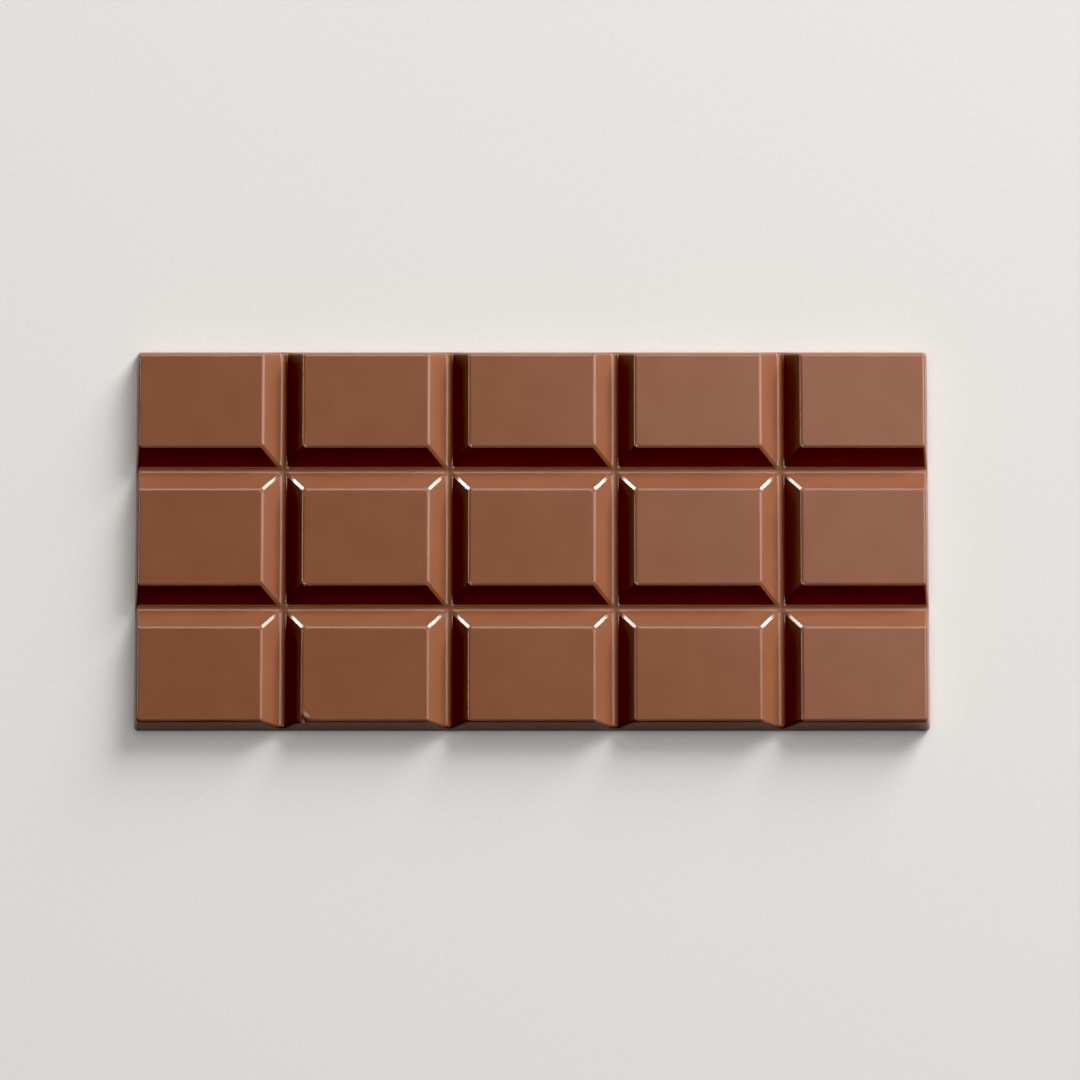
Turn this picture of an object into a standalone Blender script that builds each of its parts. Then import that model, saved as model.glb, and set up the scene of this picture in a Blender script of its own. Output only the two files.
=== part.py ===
"""A moulded milk chocolate bar: five columns and three rows of blocks in one solid.

The long side lies along X and the short side along Y. The flat back rests on z = 0, and the
origin is at the middle of that back. The blocks are parted by V-shaped grooves with round floors.
"""

import math

import bmesh
import bpy
from mathutils import Matrix, Vector

MM = 0.001

# The whole bar, measured over its flat back
BAR_LENGTH = 153.3 * MM
BAR_WIDTH = 74.3 * MM
BAR_HEIGHT = 5.5 * MM

# How far the outer walls lean in from the back to the moulded face
END_DRAFT = 0.7 * MM
SIDE_DRAFT = 1.25 * MM

# The blocks
COLUMNS = 5
ROWS = 3
COLUMN_PITCH = 32.0 * MM
ROW_PITCH = 26.87 * MM

# Grooves across the bar part the columns, and grooves along it part the rows
CROSS_GROOVE_WIDTH = 7.8 * MM
CROSS_GROOVE_DEPTH = 3.5 * MM
LONG_GROOVE_WIDTH = 8.22 * MM
LONG_GROOVE_DEPTH = 3.45 * MM
FLOOR_RADIUS = 1.2 * MM

# Roundings
CORNER_RADIUS = 0.8 * MM
WALL_EDGE_RADIUS = 0.4 * MM
BLOCK_EDGE_RADIUS = 0.7 * MM
BACK_RIM_RADIUS = 0.25 * MM

# The rubbed corner of one block: second column, front row, front-left corner
RUBBED_COLUMN = 1
RUBBED_REACH = 1.6 * MM
RUBBED_SLANT = math.radians(30.0)
RUBBED_CUTTER = 6.0 * MM

# How finely the round stretches are faceted
FLOOR_FACETS = 10
CORNER_FACETS = 4
RIM_FACETS = 3
EDGE_FACETS = 3
SMOOTH_BELOW = math.radians(35.0)

# How far a cutter passes the surface that it cuts, and how far a block edge's last facet does
CUT_MARGIN = 2.0 * MM
EDGE_MARGIN = 0.02 * MM

# Milk chocolate: sRGB 122, 74, 45 as linear values, with a satin moulded surface
CHOCOLATE_COLOUR = (0.195, 0.069, 0.026, 1.0)
CHOCOLATE_ROUGHNESS = 0.32


def clear_scene():
    for obj in list(bpy.data.objects):
        bpy.data.objects.remove(obj, do_unlink=True)


def chocolate_material():
    material = bpy.data.materials.new("milk_chocolate")
    material.use_nodes = True
    shader = material.node_tree.nodes["Principled BSDF"]
    shader.inputs["Base Color"].default_value = CHOCOLATE_COLOUR
    shader.inputs["Roughness"].default_value = CHOCOLATE_ROUGHNESS
    shader.inputs["Metallic"].default_value = 0.0
    return material


def add_object(name, bm):
    mesh = bpy.data.meshes.new(name)
    bm.to_mesh(mesh)
    bm.free()
    obj = bpy.data.objects.new(name, mesh)
    bpy.context.scene.collection.objects.link(obj)
    return obj


def groove_centres(count, pitch):
    """The middle lines of the grooves between a number of equally spaced blocks."""
    return [(index + 1 - count / 2) * pitch for index in range(count - 1)]


def groove_slope(width, depth):
    """The angle of a groove's sides: a line from the groove's edge that touches its round floor."""
    half = width / 2
    rise = depth - FLOOR_RADIUS
    return math.atan2(rise, half) + math.asin(FLOOR_RADIUS / math.hypot(half, rise))


def groove_outline(width, depth):
    """Points (across, height) of a groove's section, from above its right edge down, and up the left.

    The block edge is an arc whose centre lies in the block. Its facets touch the arc and lean by
    even steps, from nearly level, where the first one leaves the moulded face, to the slope.
    """
    slope = groove_slope(width, depth)
    step = slope / EDGE_FACETS
    arc_across = width / 2 + BLOCK_EDGE_RADIUS * math.tan(slope / 2)
    arc_height = BAR_HEIGHT - BLOCK_EDGE_RADIUS
    reach = BLOCK_EDGE_RADIUS / math.cos(step / 2)
    edge_side = []
    for index in range(1, EDGE_FACETS + 1):
        across = arc_across - reach * math.sin(index * step)
        edge_side.append((across, arc_height + reach * math.cos(index * step)))
    first_across, first_height = edge_side[0]
    climb = BAR_HEIGHT + EDGE_MARGIN - first_height
    rim_across = first_across + climb / math.tan(step / 2)
    rim_side = [(rim_across, BAR_HEIGHT + CUT_MARGIN), (rim_across, BAR_HEIGHT + EDGE_MARGIN)]
    floor_centre = BAR_HEIGHT - depth + FLOOR_RADIUS
    floor_side = []
    for index in range(FLOOR_FACETS // 2 + 1):
        angle = slope * (1 - 2 * index / FLOOR_FACETS)
        across = FLOOR_RADIUS * math.sin(angle)
        floor_side.append((across, floor_centre - FLOOR_RADIUS * math.cos(angle)))
    right = rim_side + edge_side + floor_side
    left = [(-across, height) for across, height in reversed(right[:-1])]
    return right + left


def make_slab():
    """The bar before its grooves: walls that lean in, round corners and soft rims."""
    bm = bmesh.new()
    size = Vector((BAR_LENGTH, BAR_WIDTH, BAR_HEIGHT))
    bmesh.ops.create_cube(bm, size=1.0)
    bmesh.ops.scale(bm, vec=size, verts=bm.verts)
    bmesh.ops.translate(bm, vec=(0, 0, BAR_HEIGHT / 2), verts=bm.verts)
    top = {vert for vert in bm.verts if vert.co.z > BAR_HEIGHT / 2}
    taper = (1 - 2 * END_DRAFT / BAR_LENGTH, 1 - 2 * SIDE_DRAFT / BAR_WIDTH, 1.0)
    bmesh.ops.scale(bm, vec=taper, verts=list(top))
    upright = [edge for edge in bm.edges if len(top.intersection(edge.verts)) == 1]
    bmesh.ops.bevel(
        bm, geom=upright, offset=CORNER_RADIUS, segments=CORNER_FACETS, profile=0.5, affect="EDGES"
    )
    for rim_height, radius in ((0.0, BACK_RIM_RADIUS), (BAR_HEIGHT, WALL_EDGE_RADIUS)):
        rim = [
            edge
            for edge in bm.edges
            if all(abs(vert.co.z - rim_height) < EDGE_MARGIN for vert in edge.verts)
        ]
        bmesh.ops.bevel(
            bm, geom=rim, offset=radius, segments=RIM_FACETS, profile=0.5, affect="EDGES"
        )
    return add_object("chocolate_bar", bm)


def make_groove_cutter(name, outline, length, turned):
    """A straight bar of the groove's section, along Y, or along X if turned."""
    bm = bmesh.new()
    ring = [bm.verts.new((across, -length / 2, height)) for across, height in outline]
    face = bm.faces.new(ring)
    swept = bmesh.ops.extrude_face_region(bm, geom=[face])["geom"]
    far_end = [item for item in swept if isinstance(item, bmesh.types.BMVert)]
    bmesh.ops.translate(bm, vec=(0, length, 0), verts=far_end)
    bmesh.ops.recalc_face_normals(bm, faces=bm.faces)
    cutter = add_object(name, bm)
    cutter.rotation_euler.z = math.pi / 2 if turned else 0.0
    return cutter


def make_corner_cutter():
    """A small block that slices the rubbed corner off at a slant."""
    left_groove = groove_centres(COLUMNS, COLUMN_PITCH)[RUBBED_COLUMN - 1]
    front = SIDE_DRAFT - BAR_WIDTH / 2
    corner = Vector((left_groove + CROSS_GROOVE_WIDTH / 2, front, BAR_HEIGHT))
    on_plane = corner + Vector((RUBBED_REACH / 2, RUBBED_REACH / 2, 0))
    outward = Vector((-1, -1, math.sqrt(2) / math.tan(RUBBED_SLANT))).normalized()
    bm = bmesh.new()
    bmesh.ops.create_cube(bm, size=RUBBED_CUTTER)
    turn = outward.to_track_quat("Z", "Y").to_matrix().to_4x4()
    place = Matrix.Translation(on_plane + outward * RUBBED_CUTTER / 2) @ turn
    bmesh.ops.transform(bm, matrix=place, verts=bm.verts)
    return add_object("rubbed_corner_cutter", bm)


def cut(body, cutter):
    cutter.hide_render = True
    cutter.display_type = "WIRE"
    boolean = body.modifiers.new(cutter.name, "BOOLEAN")
    boolean.operation = "DIFFERENCE"
    boolean.object = cutter


def build_bar():
    bar = make_slab()
    bar.data.materials.append(chocolate_material())
    cross_outline = groove_outline(CROSS_GROOVE_WIDTH, CROSS_GROOVE_DEPTH)
    for number, middle in enumerate(groove_centres(COLUMNS, COLUMN_PITCH), 1):
        length = BAR_WIDTH + 2 * CUT_MARGIN
        cutter = make_groove_cutter(f"cross_groove_cutter_{number}", cross_outline, length, False)
        cutter.location.x = middle
        cut(bar, cutter)
    long_outline = groove_outline(LONG_GROOVE_WIDTH, LONG_GROOVE_DEPTH)
    for number, middle in enumerate(groove_centres(ROWS, ROW_PITCH), 1):
        length = BAR_LENGTH + 2 * CUT_MARGIN
        cutter = make_groove_cutter(f"long_groove_cutter_{number}", long_outline, length, True)
        cutter.location.y = middle
        cut(bar, cutter)
    cut(bar, make_corner_cutter())
    bar.data.shade_smooth()
    bar.data.set_sharp_from_angle(angle=SMOOTH_BELOW)


clear_scene()
build_bar()
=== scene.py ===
"""The looks of a moulded milk chocolate bar: five columns and three rows of blocks on a pale floor.

The bar lies along X with its flat back on z = 0. It is modelled as a mould maker would cut it:
one block with its half of the grooves round it, repeated over the bar, then trimmed by the walls.
"""

import math
import random

import bpy
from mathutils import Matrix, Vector


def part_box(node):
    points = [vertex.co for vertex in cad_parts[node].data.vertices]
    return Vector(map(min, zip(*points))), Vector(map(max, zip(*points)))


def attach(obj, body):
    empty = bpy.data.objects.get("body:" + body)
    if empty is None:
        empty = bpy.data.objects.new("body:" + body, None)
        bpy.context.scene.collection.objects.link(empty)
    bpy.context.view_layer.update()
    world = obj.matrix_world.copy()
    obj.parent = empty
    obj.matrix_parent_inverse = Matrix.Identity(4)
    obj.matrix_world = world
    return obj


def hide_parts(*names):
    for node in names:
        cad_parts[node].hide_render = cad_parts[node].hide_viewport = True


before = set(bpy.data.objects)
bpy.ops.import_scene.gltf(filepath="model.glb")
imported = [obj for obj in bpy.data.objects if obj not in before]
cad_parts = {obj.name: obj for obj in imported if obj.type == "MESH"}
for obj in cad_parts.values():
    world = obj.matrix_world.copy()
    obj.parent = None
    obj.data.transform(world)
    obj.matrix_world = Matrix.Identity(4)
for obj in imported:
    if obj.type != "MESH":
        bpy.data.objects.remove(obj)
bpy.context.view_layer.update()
LOWEST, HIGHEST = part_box("chocolate_bar")

MM = 0.001

# The bar's size, read from the frame
LENGTH = HIGHEST.x - LOWEST.x
WIDTH = HIGHEST.y - LOWEST.y
HEIGHT = HIGHEST.z - LOWEST.z

# The blocks and grooves, as in the frame apart from a rounder block edge and one depth for all the
# grooves, which is counted from TOP
COLUMNS = 5
ROWS = 3
COLUMN_PITCH = 32.0 * MM
ROW_PITCH = 26.87 * MM
CROSS_GROOVE_WIDTH = 7.8 * MM
LONG_GROOVE_WIDTH = 8.22 * MM
GROOVE_DEPTH = 3.45 * MM
FLOOR_RADIUS = 1.2 * MM
BLOCK_EDGE_RADIUS = 0.95 * MM
END_DRAFT = 0.7 * MM
SIDE_DRAFT = 1.25 * MM

# The other edges. A hip is the slanting edge where two groove sides meet. It has a narrow flat
# with soft sides, down to where the floor leans by HIP_END_ANGLE
HIP_SETBACK = 0.38 * MM
HIP_SIDE_SETBACK = 0.07 * MM
HIP_SIDE_SEGMENTS = 2
HIP_END_ANGLE = math.radians(12.0)
WALL_EDGE_SETBACK = 0.6 * MM
WALL_EDGE_SEGMENTS = 5
CORNER_SETBACK = 0.8 * MM
CORNER_SEGMENTS = 8
BACK_RIM_SETBACK = 0.22 * MM
BACK_RIM_SEGMENTS = 3
SHARP_ANGLE = math.radians(45.0)
SMOOTH_ANGLE = math.radians(40.0)

# How far the tallest block stays under the frame's top, which leaves room for its tilt
TOP_CLEARANCE = 0.05 * MM
TOP = HEIGHT - TOP_CLEARANCE
MOST_TILT = math.radians(0.14)
TILT_SEED = 5

# Steps of a groove's side: its round floor, its straight slope and its round block edge
FLOOR_STEPS = 9
SLOPE_SHARES = (0.03, 0.35, 0.65, 0.97)
EDGE_STEPS = 7
EDGE_MARGIN = 0.06 * MM

# How far the outer blocks are drawn out past the walls before these trim them
OUTER_ALLOWANCE = 3.0 * MM

# The rubbed corner of one block: second column, front row, front-left corner, in three slices,
# each with its slant and how far it reaches along the block's two edges
RUBBED_COLUMN = 1
RUBBED_SLICES = (
    (math.radians(9.0), 2.8 * MM),
    (math.radians(14.0), 2.4 * MM),
    (math.radians(20.0), 2.0 * MM),
)
RUBBED_CUTTER = 6.0 * MM

# Small marks, each as the (across, along, height) of the ball that leaves it and the ball's radius,
# in mm: a burst air bubble in one block's face, then nicks in the edges. The fifth ball misses the
# rounded edge and leaves no mark, but without its cut the rubbed corner's highlight changes
SMALL_MARKS = (
    ((-21.55, -5.22, 6.1), 0.72),
    ((-19.95, -9.1, 5.5), 0.24),
    ((-42.56, -9.35, 5.5), 0.24),
    ((72.85, -35.75, 5.5), 0.26),
    ((66.1, -36.2, 5.1), 0.28),
    ((-62.8, -35.75, 5.5), 0.26),
    ((47.6, 36.6, 2.15), 0.3),
    ((49.1, 36.55, 2.3), 0.26),
)
MARK_SUBDIVISIONS = 3

# The back sets in the open, so it has shallow ripples, up to this high, this far inside its rim
RIPPLE_HEIGHT = 0.12 * MM
RIPPLE_SPACING = 14.0 * MM
RIPPLE_GRID = 2.5 * MM
RIPPLE_INSET = 1.5 * MM

# A face whose normal points down at least this much is the flat back before it is rippled, and
# afterwards one that gets the back's material
FLAT_BACK_NORMAL = -0.99
BACK_NORMAL = -0.9

TINY = 0.002 * MM

# The floor and the world, whose light is weak on things and strong where the camera sees past them
STAGE_SIZE = 8.0
WORLD_ON_THINGS = 0.005
WORLD_SEEN = 0.7

# The photograph's view, in its own frame of 1080 pixels a side
FRAME_PIXELS = 1080
PIXELS_PER_MM = 5.175
BAR_CENTRE_PIXEL = (532.0, 541.0)
CAMERA_DISTANCE = 1300.0 * MM
CAMERA_ELEVATION = math.radians(81.2)
SENSOR_MM = 36.0
NEAREST_SEEN = 10.0 * MM

# The photograph shows whatever is dimmer than this as black, in each of its three colours
BLACK_LEVEL = 0.022


def open_for_editing(obj):
    """Makes obj the only selected object and opens it in edit mode with nothing selected."""
    bpy.ops.object.select_all(action="DESELECT")
    obj.select_set(True)
    bpy.context.view_layer.objects.active = obj
    bpy.ops.object.mode_set(mode="EDIT")
    bpy.ops.mesh.select_all(action="DESELECT")


def pick(obj, kind, wanted):
    """In edit mode, selects only the vertices, edges or polygons that wanted() accepts."""
    mode = {"vertices": "VERT", "edges": "EDGE", "polygons": "FACE"}[kind]
    bpy.ops.mesh.select_mode(type=mode)
    bpy.ops.mesh.select_all(action="DESELECT")
    bpy.ops.object.mode_set(mode="OBJECT")
    for item in getattr(obj.data, kind):
        item.select = wanted(item)
    bpy.ops.object.mode_set(mode="EDIT")


def ends(obj, edge):
    return [obj.data.vertices[index].co for index in edge.vertices]


def apply_modifier(obj, modifier):
    bpy.ops.object.select_all(action="DESELECT")
    obj.select_set(True)
    bpy.context.view_layer.objects.active = obj
    bpy.ops.object.modifier_apply(modifier=modifier.name)


def block_centre(column, row):
    """The middle of a block, counted from the left and from the front."""
    across = (column - (COLUMNS - 1) / 2) * COLUMN_PITCH
    along = (row - (ROWS - 1) / 2) * ROW_PITCH
    return Vector((across, along, 0))


def groove_slope(width):
    """The angle of a groove's sides: a line from its edge that touches its round floor."""
    half = width / 2
    rise = GROOVE_DEPTH - FLOOR_RADIUS
    return math.atan2(rise, half) + math.asin(FLOOR_RADIUS / math.hypot(half, rise))


def groove_side(width):
    """Points (across, height) up a groove's side, from its middle line to just inside the top."""
    slope = groove_slope(width)
    floor = []
    for step in range(FLOOR_STEPS + 1):
        angle = slope * step / FLOOR_STEPS
        rise = FLOOR_RADIUS * (1 - math.cos(angle))
        floor.append((FLOOR_RADIUS * math.sin(angle), TOP - GROOVE_DEPTH + rise))
    arc_middle = width / 2 + BLOCK_EDGE_RADIUS * math.tan(slope / 2)
    edge = []
    for step in range(EDGE_STEPS + 1):
        angle = slope * (1 - step / EDGE_STEPS)
        drop = BLOCK_EDGE_RADIUS * (1 - math.cos(angle))
        edge.append((arc_middle - BLOCK_EDGE_RADIUS * math.sin(angle), TOP - drop))
    (low_across, low_height), (high_across, high_height) = floor[-1], edge[0]
    straight = []
    for share in SLOPE_SHARES:
        across = low_across + (high_across - low_across) * share
        straight.append((across, low_height + (high_height - low_height) * share))
    return floor + straight + edge + [(arc_middle + EDGE_MARGIN, TOP)]


def model_block():
    """One block and its half of the grooves round it, raised ring by ring out of a flat plate."""
    bpy.ops.object.select_all(action="DESELECT")
    bpy.ops.mesh.primitive_plane_add(size=1.0, location=(0, 0, TOP - GROOVE_DEPTH))
    block = bpy.context.object
    block.name = "moulded_bar"
    block.scale = (COLUMN_PITCH, ROW_PITCH, 1)
    bpy.ops.object.transform_apply(location=True, rotation=False, scale=True)
    open_for_editing(block)
    bpy.ops.mesh.select_mode(type="FACE")
    bpy.ops.mesh.select_all(action="SELECT")
    side_x = groove_side(CROSS_GROOVE_WIDTH)
    side_y = groove_side(LONG_GROOVE_WIDTH)
    for step in range(1, len(side_x)):
        narrowing = side_x[step][0] - side_x[step - 1][0]
        bpy.ops.mesh.inset(thickness=narrowing, depth=0)
        plain_half = ROW_PITCH / 2 - side_y[step - 1][0] - narrowing
        wanted_half = ROW_PITCH / 2 - side_y[step][0]
        bpy.ops.transform.resize(value=(1, wanted_half / plain_half, 1))
        bpy.ops.transform.translate(value=(0, 0, side_x[step][1] - side_x[step - 1][1]))
    soften_hips(block)
    bpy.ops.object.mode_set(mode="OBJECT")
    return block


def soften_hips(block):
    """Flattens the four mitred edges where two groove sides meet, and rounds each flat's sides."""
    low = TOP - GROOVE_DEPTH + FLOOR_RADIUS * (1 - math.cos(HIP_END_ANGLE)) - TINY

    def is_hip(edge):
        start, end = ends(block, edge)
        slanted = abs(start.x - end.x) > TINY and abs(start.y - end.y) > TINY
        return slanted and min(start.z, end.z) > low

    def is_hip_side(edge):
        start, end = ends(block, edge)
        along_x, along_y = end.x - start.x, end.y - start.y
        outward = along_x * start.x * along_y * start.y > 0
        slanted = abs(along_x) > TINY and abs(along_y) > TINY
        return edge.select and outward and slanted

    pick(block, "edges", is_hip)
    bpy.ops.mesh.bevel(offset=HIP_SETBACK, segments=1, affect="EDGES", clamp_overlap=False)
    bpy.ops.mesh.region_to_loop()
    bpy.ops.object.mode_set(mode="OBJECT")
    sides = {edge.index for edge in block.data.edges if is_hip_side(edge)}
    bpy.ops.object.mode_set(mode="EDIT")
    pick(block, "edges", lambda edge: edge.index in sides)
    bpy.ops.mesh.bevel(
        offset=HIP_SIDE_SETBACK, segments=HIP_SIDE_SEGMENTS, affect="EDGES", clamp_overlap=False
    )


def repeat_block(block):
    """Repeats the block over the bar's columns and rows, and joins the copies along the grooves."""
    for count, offset in ((COLUMNS, (COLUMN_PITCH, 0, 0)), (ROWS, (0, ROW_PITCH, 0))):
        repeat = block.modifiers.new("repeat", "ARRAY")
        repeat.count = count
        repeat.use_relative_offset = False
        repeat.use_constant_offset = True
        repeat.constant_offset_displace = offset
        repeat.use_merge_vertices = True
        repeat.merge_threshold = TINY
        apply_modifier(block, repeat)
    open_for_editing(block)
    bpy.ops.mesh.select_all(action="SELECT")
    bpy.ops.transform.translate(value=block_centre(0, 0))
    bpy.ops.mesh.remove_doubles(threshold=TINY)
    bpy.ops.object.mode_set(mode="OBJECT")


def draw_out_outer_blocks(bar):
    """Lengthens the outer blocks past the walls, so that each wall is cut through a level top."""
    open_for_editing(bar)
    for axis, count, pitch in ((0, COLUMNS, COLUMN_PITCH), (1, ROWS, ROW_PITCH)):
        limit = (count - 1) / 2 * pitch + pitch / 4
        for side in (-1, 1):
            draw = [0, 0, 0]
            draw[axis] = side * OUTER_ALLOWANCE
            pick(bar, "vertices", lambda vertex: side * vertex.co[axis] > limit)
            bpy.ops.transform.translate(value=draw)
    bpy.ops.object.mode_set(mode="OBJECT")


def close_back(bar):
    """Draws the sheet's border down to the floor and closes the flat back."""
    open_for_editing(bar)
    bpy.ops.mesh.select_mode(type="EDGE")
    bpy.ops.mesh.select_non_manifold(use_wire=False, use_multi_face=False, use_non_contiguous=False)
    bpy.ops.mesh.extrude_region_move(TRANSFORM_OT_translate={"value": (0, 0, -HEIGHT)})
    bpy.ops.transform.resize(value=(1, 1, 0))
    bpy.ops.object.mode_set(mode="OBJECT")
    level = min(vertex.co.z for vertex in bar.data.vertices)
    bpy.ops.object.mode_set(mode="EDIT")
    bpy.ops.transform.translate(value=(0, 0, -level))
    bpy.ops.mesh.edge_face_add()
    bpy.ops.mesh.select_all(action="SELECT")
    bpy.ops.mesh.normals_make_consistent(inside=False)
    bpy.ops.object.mode_set(mode="OBJECT")


def trim_walls(bar):
    """Cuts the four outer walls, which lean in from the back to the moulded face."""
    open_for_editing(bar)
    for axis, size, draft in ((0, LENGTH, END_DRAFT), (1, WIDTH, SIDE_DRAFT)):
        for side in (-1, 1):
            place = [0, 0, 0]
            place[axis] = side * size / 2
            outward = Vector((0, 0, draft / HEIGHT))
            outward[axis] = side
            bpy.ops.mesh.select_all(action="SELECT")
            bpy.ops.mesh.bisect(
                plane_co=place, plane_no=outward.normalized(), use_fill=True, clear_outer=True
            )
    bpy.ops.object.mode_set(mode="OBJECT")


def round_walls(bar):
    """Rounds the upright corners, the moulded face's rim with the groove ends, and the back's rim."""
    open_for_editing(bar)

    def is_upright(edge):
        start, end = ends(bar, edge)
        return abs(start.z - end.z) > HEIGHT / 2

    pick(bar, "edges", is_upright)
    bpy.ops.mesh.bevel(
        offset=CORNER_SETBACK, segments=CORNER_SEGMENTS, affect="EDGES", clamp_overlap=False
    )
    bpy.ops.mesh.select_all(action="DESELECT")
    bpy.ops.mesh.edges_select_sharp(sharpness=SHARP_ANGLE)
    bpy.ops.object.mode_set(mode="OBJECT")
    for edge in bar.data.edges:
        if edge.select and max(point.z for point in ends(bar, edge)) < TINY:
            edge.select = False
    bpy.ops.object.mode_set(mode="EDIT")
    bpy.ops.mesh.bevel(
        offset=WALL_EDGE_SETBACK, segments=WALL_EDGE_SEGMENTS, affect="EDGES", clamp_overlap=False
    )
    bpy.ops.mesh.select_all(action="DESELECT")
    bpy.ops.mesh.edges_select_sharp(sharpness=SHARP_ANGLE)
    bpy.ops.mesh.bevel(
        offset=BACK_RIM_SETBACK, segments=BACK_RIM_SEGMENTS, affect="EDGES", clamp_overlap=False
    )
    bpy.ops.object.mode_set(mode="OBJECT")


def take_away(bar, cutter):
    """Cuts the shape of another object out of the bar, and removes that object."""
    cut = bar.modifiers.new("cut", "BOOLEAN")
    cut.operation = "DIFFERENCE"
    cut.object = cutter
    apply_modifier(bar, cut)
    bpy.data.objects.remove(cutter, do_unlink=True)


def rub_corner(bar):
    """Wears one block's corner down with slices that lean more and more towards the groove."""
    groove = (RUBBED_COLUMN - COLUMNS / 2) * COLUMN_PITCH
    corner = Vector((groove + CROSS_GROOVE_WIDTH / 2, SIDE_DRAFT - WIDTH / 2, TOP))
    for slant, reach in RUBBED_SLICES:
        outward = Vector((-1, -1, math.sqrt(2) / math.tan(slant))).normalized()
        on_plane = corner + Vector((reach / 2, reach / 2, 0))
        bpy.ops.object.select_all(action="DESELECT")
        bpy.ops.mesh.primitive_cube_add(
            size=RUBBED_CUTTER,
            location=on_plane + outward * RUBBED_CUTTER / 2,
            rotation=outward.to_track_quat("Z", "Y").to_euler(),
        )
        take_away(bar, bpy.context.object)


def mark_faces(bar):
    """Leaves the burst bubble and the nicks, each as a small bite of a ball."""
    for place, radius in SMALL_MARKS:
        bpy.ops.object.select_all(action="DESELECT")
        bpy.ops.mesh.primitive_ico_sphere_add(
            subdivisions=MARK_SUBDIVISIONS, radius=radius * MM, location=Vector(place) * MM
        )
        take_away(bar, bpy.context.object)


def tilt_blocks(bar):
    """Tips each block's face by a hair, as cast blocks never set quite level."""
    draw = random.Random(TILT_SEED)
    open_for_editing(bar)
    for column in range(COLUMNS):
        for row in range(ROWS):
            middle = block_centre(column, row)
            middle.z = TOP

            def is_face(vertex):
                off = vertex.co - middle
                inside = abs(off.x) < COLUMN_PITCH / 2 and abs(off.y) < ROW_PITCH / 2
                return inside and off.z > -BLOCK_EDGE_RADIUS / 2

            pick(bar, "vertices", is_face)
            for axis in ("X", "Y"):
                bpy.ops.transform.rotate(
                    value=draw.uniform(-MOST_TILT, MOST_TILT), orient_axis=axis, center_override=middle
                )
    bpy.ops.object.mode_set(mode="OBJECT")


def ripple_back(bar):
    """Cuts the back into a grid and raises it in shallow ripples, clear of its rim."""
    open_for_editing(bar)

    def is_flat_back(face):
        return face.normal.z < FLAT_BACK_NORMAL and face.center.z < TINY

    pick(bar, "polygons", is_flat_back)
    for axis, size in ((0, LENGTH), (1, WIDTH)):
        count = int(size / RIPPLE_GRID)
        for index in range(1, count):
            place = [0, 0, 0]
            place[axis] = (index / count - 0.5) * size
            across = [0, 0, 0]
            across[axis] = 1
            bpy.ops.mesh.bisect(plane_co=place, plane_no=across)
            pick(bar, "polygons", is_flat_back)
    bpy.ops.object.mode_set(mode="OBJECT")
    inner = [
        vertex.index
        for vertex in bar.data.vertices
        if vertex.co.z < TINY
        and abs(vertex.co.x) < LENGTH / 2 - RIPPLE_INSET
        and abs(vertex.co.y) < WIDTH / 2 - RIPPLE_INSET
    ]
    back = bar.vertex_groups.new(name="back")
    back.add(inner, 1.0, "REPLACE")
    ripples = bpy.data.textures.new("ripples", "CLOUDS")
    ripples.noise_scale = RIPPLE_SPACING
    raised = bar.modifiers.new("ripples", "DISPLACE")
    raised.texture = ripples
    raised.vertex_group = "back"
    raised.direction = "Z"
    raised.mid_level = 0
    raised.strength = RIPPLE_HEIGHT
    apply_modifier(bar, raised)
    bar.vertex_groups.clear()


def model_bar():
    bar = model_block()
    repeat_block(bar)
    draw_out_outer_blocks(bar)
    close_back(bar)
    trim_walls(bar)
    round_walls(bar)
    rub_corner(bar)
    mark_faces(bar)
    tilt_blocks(bar)
    ripple_back(bar)
    bpy.ops.object.shade_smooth_by_angle(angle=SMOOTH_ANGLE)
    flats_first = bar.modifiers.new("flats_first", "WEIGHTED_NORMAL")
    flats_first.keep_sharp = True
    apply_modifier(bar, flats_first)
    return bar


def linear(hex_colour):
    """An sRGB hex colour as linear red, green, blue and full opacity."""
    channels = []
    for start in (1, 3, 5):
        value = int(hex_colour[start:start + 2], 16) / 255
        channels.append(value / 12.92 if value <= 0.04045 else ((value + 0.055) / 1.055) ** 2.4)
    return (*channels, 1.0)


def add_node(tree, kind, settings=None, inputs=None):
    """Adds one node. settings are its own properties; inputs are values or sockets to link."""
    node = tree.nodes.new(kind)
    for name, value in (settings or {}).items():
        setattr(node, name, value)
    for name, value in (inputs or {}).items():
        if isinstance(value, bpy.types.NodeSocket):
            tree.links.new(value, node.inputs[name])
        else:
            node.inputs[name].default_value = value
    return node


def new_material(name):
    material = bpy.data.materials.new(name)
    material.use_nodes = True
    return material, material.node_tree, material.node_tree.nodes["Principled BSDF"]


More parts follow.
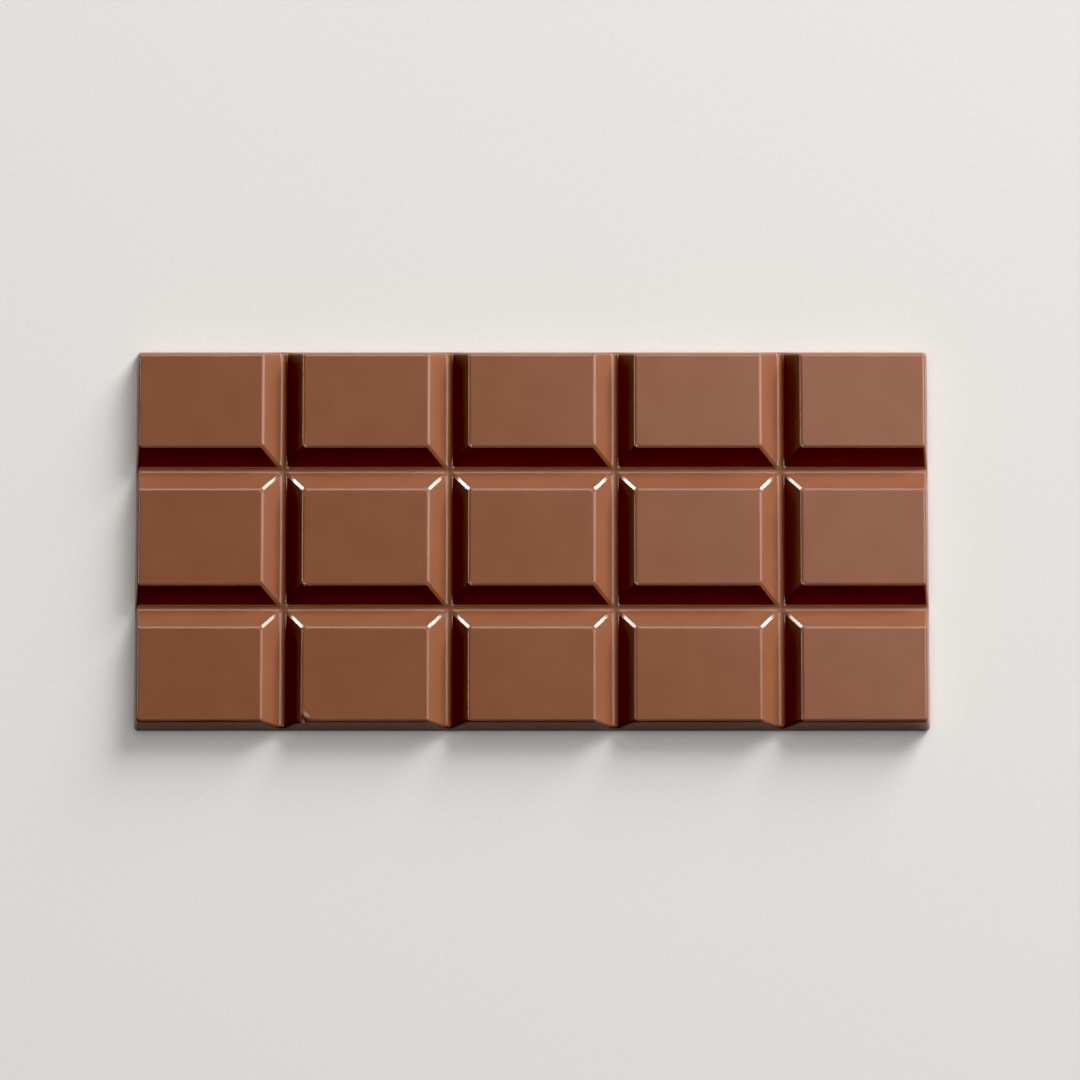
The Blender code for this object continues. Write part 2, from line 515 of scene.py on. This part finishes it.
def moulded_milk_chocolate():
    """Milk chocolate set against a polished mould.

    The cocoa butter at its surface copies the mould, so the eye gets an even brown with a clean
    satin gloss, faint clouds in the colour, and a skin that is a little uneven where it let go.
    """
    material, tree, shader = new_material("moulded_milk_chocolate")
    place = add_node(tree, "ShaderNodeTexCoord").outputs["Object"]
    # Clouds of cocoa butter, some 7 mm across, and the fine grain of milk and sugar, 0.35 mm
    clouds = add_node(
        tree, "ShaderNodeTexNoise", None, {"Vector": place, "Scale": 1 / (7 * MM), "Detail": 3.0}
    )
    grain = add_node(
        tree, "ShaderNodeTexNoise", None, {"Vector": place, "Scale": 1 / (0.35 * MM), "Detail": 2.0}
    )
    mix = add_node(
        tree, "ShaderNodeMix", {"data_type": "FLOAT"},
        {"Factor": 0.35, "A": clouds.outputs["Fac"], "B": grain.outputs["Fac"]},
    )
    colour = add_node(tree, "ShaderNodeValToRGB", None, {"Fac": mix.outputs["Result"]})
    colour.color_ramp.elements[0].position = 0.3
    colour.color_ramp.elements[0].color = linear("#714733")
    colour.color_ramp.elements[1].position = 0.7
    colour.color_ramp.elements[1].color = linear("#774d39")
    tree.links.new(colour.outputs["Color"], shader.inputs["Base Color"])
    # The skin is a little duller in patches of some 3 mm
    patches = add_node(
        tree, "ShaderNodeTexNoise", None, {"Vector": place, "Scale": 1 / (3 * MM), "Detail": 2.0}
    )
    roughness = add_node(
        tree, "ShaderNodeMapRange", None,
        {
            "Value": patches.outputs["Fac"],
            "From Min": 0.3,
            "From Max": 0.7,
            "To Min": 0.38,
            "To Max": 0.44,
        },
    )
    tree.links.new(roughness.outputs["Result"], shader.inputs["Roughness"])
    # Waves of some 9 mm that the shrinking chocolate leaves, under the fine grain
    waves = add_node(
        tree, "ShaderNodeTexNoise", None, {"Vector": place, "Scale": 1 / (9 * MM), "Detail": 1.0}
    )
    waved = add_node(
        tree, "ShaderNodeBump", None,
        {"Strength": 1.0, "Distance": 0.02 * MM, "Height": waves.outputs["Fac"]},
    )
    grained = add_node(
        tree, "ShaderNodeBump", None,
        {
            "Strength": 1.0,
            "Distance": 0.0012 * MM,
            "Height": grain.outputs["Fac"],
            "Normal": waved.outputs["Normal"],
        },
    )
    tree.links.new(grained.outputs["Normal"], shader.inputs["Normal"])
    shader.inputs["IOR"].default_value = 1.46
    shader.inputs["Specular IOR Level"].default_value = 0.1
    shader.inputs["Coat Weight"].default_value = 0.5
    shader.inputs["Coat Roughness"].default_value = 0.17
    shader.inputs["Coat IOR"].default_value = 1.46
    return material


def poured_milk_chocolate():
    """The back of the bar, which sets in the open: duller, cloudy, and pitted by tiny bubbles."""
    material, tree, shader = new_material("poured_milk_chocolate")
    place = add_node(tree, "ShaderNodeTexCoord").outputs["Object"]
    clouds = add_node(
        tree, "ShaderNodeTexNoise", None, {"Vector": place, "Scale": 1 / (12 * MM), "Detail": 5.0}
    )
    colour = add_node(tree, "ShaderNodeValToRGB", None, {"Fac": clouds.outputs["Fac"]})
    colour.color_ramp.elements[0].position = 0.3
    colour.color_ramp.elements[0].color = linear("#6d432e")
    colour.color_ramp.elements[1].position = 0.7
    colour.color_ramp.elements[1].color = linear("#7a4e37")
    tree.links.new(colour.outputs["Color"], shader.inputs["Base Color"])
    # Bubbles that burst while it set, one in some of the 5 mm cells, each under 1 mm across
    cells = add_node(
        tree, "ShaderNodeTexVoronoi", None, {"Vector": place, "Scale": 1 / (5 * MM), "Randomness": 1.0}
    )
    pits = add_node(
        tree, "ShaderNodeMapRange", {"interpolation_type": "SMOOTHSTEP"},
        {
            "Value": cells.outputs["Distance"],
            "From Min": 0.04,
            "From Max": 0.09,
            "To Min": 0.0,
            "To Max": 1.0,
        },
    )
    pitted = add_node(
        tree, "ShaderNodeBump", None,
        {"Strength": 1.0, "Distance": 0.12 * MM, "Height": pits.outputs["Result"]},
    )
    grain = add_node(
        tree, "ShaderNodeTexNoise", None, {"Vector": place, "Scale": 1 / (0.5 * MM), "Detail": 3.0}
    )
    grained = add_node(
        tree, "ShaderNodeBump", None,
        {
            "Strength": 1.0,
            "Distance": 0.01 * MM,
            "Height": grain.outputs["Fac"],
            "Normal": pitted.outputs["Normal"],
        },
    )
    tree.links.new(grained.outputs["Normal"], shader.inputs["Normal"])
    shader.inputs["Roughness"].default_value = 0.5
    shader.inputs["IOR"].default_value = 1.46
    return material


def finish_bar(bar):
    """The moulded finish all over, and the poured one on the back inside its rim."""
    bar.data.materials.append(moulded_milk_chocolate())
    bar.data.materials.append(poured_milk_chocolate())
    open_for_editing(bar)

    def is_back(face):
        return face.normal.z < BACK_NORMAL and face.center.z < RIPPLE_HEIGHT

    pick(bar, "polygons", is_back)
    bar.active_material_index = 1
    bpy.ops.object.material_slot_assign()
    bpy.ops.object.mode_set(mode="OBJECT")


def pale_card():
    """Uncoated card: pale and quite matte, with the faint fibre of paper."""
    material, tree, shader = new_material("pale_card")
    place = add_node(tree, "ShaderNodeTexCoord").outputs["Object"]
    fibre = add_node(
        tree, "ShaderNodeTexNoise", None, {"Vector": place, "Scale": 1 / (0.8 * MM), "Detail": 4.0}
    )
    colour = add_node(tree, "ShaderNodeValToRGB", None, {"Fac": fibre.outputs["Fac"]})
    colour.color_ramp.elements[0].position = 0.3
    colour.color_ramp.elements[0].color = linear("#dbd9d5")
    colour.color_ramp.elements[1].position = 0.7
    colour.color_ramp.elements[1].color = linear("#dfddd9")
    tree.links.new(colour.outputs["Color"], shader.inputs["Base Color"])
    shader.inputs["Roughness"].default_value = 0.95
    return material


def lay_floor():
    bpy.ops.object.select_all(action="DESELECT")
    bpy.ops.mesh.primitive_plane_add(size=STAGE_SIZE, location=(0, 0, 0))
    floor = bpy.context.object
    floor.name = "floor"
    floor.data.materials.append(pale_card())
    return floor


def aim(obj, target):
    away = obj.location - Vector(target)
    obj.rotation_euler = away.to_track_quat("Z", "Y").to_euler()


def place_camera():
    data = bpy.data.cameras.new("camera")
    data.sensor_width = SENSOR_MM
    data.lens = SENSOR_MM * CAMERA_DISTANCE * PIXELS_PER_MM / MM / FRAME_PIXELS
    data.clip_start = NEAREST_SEEN
    camera = bpy.data.objects.new("camera", data)
    bpy.context.scene.collection.objects.link(camera)
    across = (FRAME_PIXELS / 2 - BAR_CENTRE_PIXEL[0]) / PIXELS_PER_MM * MM
    along = (BAR_CENTRE_PIXEL[1] - FRAME_PIXELS / 2) / PIXELS_PER_MM * MM / math.sin(CAMERA_ELEVATION)
    target = Vector((across, along, 0))
    away = Vector((0, -math.cos(CAMERA_ELEVATION), math.sin(CAMERA_ELEVATION)))
    camera.location = target + away * CAMERA_DISTANCE
    aim(camera, target)
    bpy.context.scene.camera = camera


def softbox(name, azimuth, elevation, distance, width, height, power, lit):
    """A soft light on the lit objects, aimed at the bar's middle.

    Azimuth and elevation are in degrees, azimuth to the right of the rear. Distance, width and
    height are in metres, and power is in watts.
    """
    data = bpy.data.lights.new(name, "AREA")
    data.shape = "RECTANGLE"
    data.size = width
    data.size_y = height
    data.energy = power
    lamp = bpy.data.objects.new(name, data)
    bpy.context.scene.collection.objects.link(lamp)
    turn, rise = math.radians(azimuth), math.radians(elevation)
    level = distance * math.cos(rise)
    lamp.location = (level * math.sin(turn), level * math.cos(turn), distance * math.sin(rise))
    aim(lamp, (0, 0, 0))
    lamp.visible_camera = False
    lamp.light_linking.receiver_collection = lit
    return lamp


def light_group(name, obj):
    group = bpy.data.collections.new(name)
    group.objects.link(obj)
    return group


def light_the_set(bar, floor):
    """The bar and the floor have their own lights, so that deep grooves go with a soft shadow.

    The glints show only in the gloss, along the bar's edges and hips. The bar's main lights stay
    out of the gloss, or they would whiten the flat faces seen from the side across from them.
    """
    on_bar = light_group("on_bar", bar)
    on_floor = light_group("on_floor", floor)
    main_lights = (
        softbox("key", 48, 32, 1.3, 0.45, 0.85, 44, on_bar),
        softbox("low_left", -78, 8, 1.3, 0.6, 0.2, 4, on_bar),
    )
    for lamp in main_lights:
        lamp.visible_glossy = False
    softbox("floor_key", 34, 26, 2.4, 1.2, 1.6, 78, on_floor)
    softbox("floor_fill", 20, 80, 2.4, 2.4, 2.4, 38, on_floor)
    glints = (
        softbox("right_hips", 39.5, 13, 1.3, 0.36, 0.2, 14, on_bar),
        softbox("left_hips", -40, 13.5, 1.3, 0.44, 0.18, 15, on_bar),
        softbox("right_edges", 73, 36, 1.0, 0.25, 1.1, 8, on_bar),
        softbox("left_edges", -79, 27, 1.0, 0.3, 0.2, 3, on_bar),
        softbox("rear_edges", 2, 44, 1.0, 0.5, 0.9, 9, on_bar),
        softbox("front_edges", 180, 38, 1.0, 0.5, 0.18, 1.1, on_bar),
        softbox("rubbed_corner", -124, 63, 1.3, 0.35, 0.55, 5.5, on_bar),
        softbox("veil", 47, 71, 1.0, 0.3, 0.4, 0.9, on_bar),
    )
    for lamp in glints:
        lamp.visible_diffuse = False
    world = bpy.data.worlds.new("studio")
    bpy.context.scene.world = world
    world.use_nodes = True
    tree = world.node_tree
    background = tree.nodes["Background"]
    background.inputs["Color"].default_value = (1.0, 1.0, 1.0, 1.0)
    seen = add_node(tree, "ShaderNodeLightPath").outputs["Is Camera Ray"]
    strength = add_node(
        tree, "ShaderNodeMapRange", None,
        {"Value": seen, "To Min": WORLD_ON_THINGS, "To Max": WORLD_SEEN},
    )
    tree.links.new(strength.outputs["Result"], background.inputs["Strength"])
    view = bpy.context.scene.view_settings
    view.view_transform = "Standard"
    view.use_curve_mapping = True
    view.curve_mapping.black_level = (BLACK_LEVEL, BLACK_LEVEL, BLACK_LEVEL)
    view.curve_mapping.update()


place_camera()
bar = model_bar()
finish_bar(bar)
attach(bar, "root")
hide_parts("chocolate_bar")
light_the_set(bar, lay_floor())
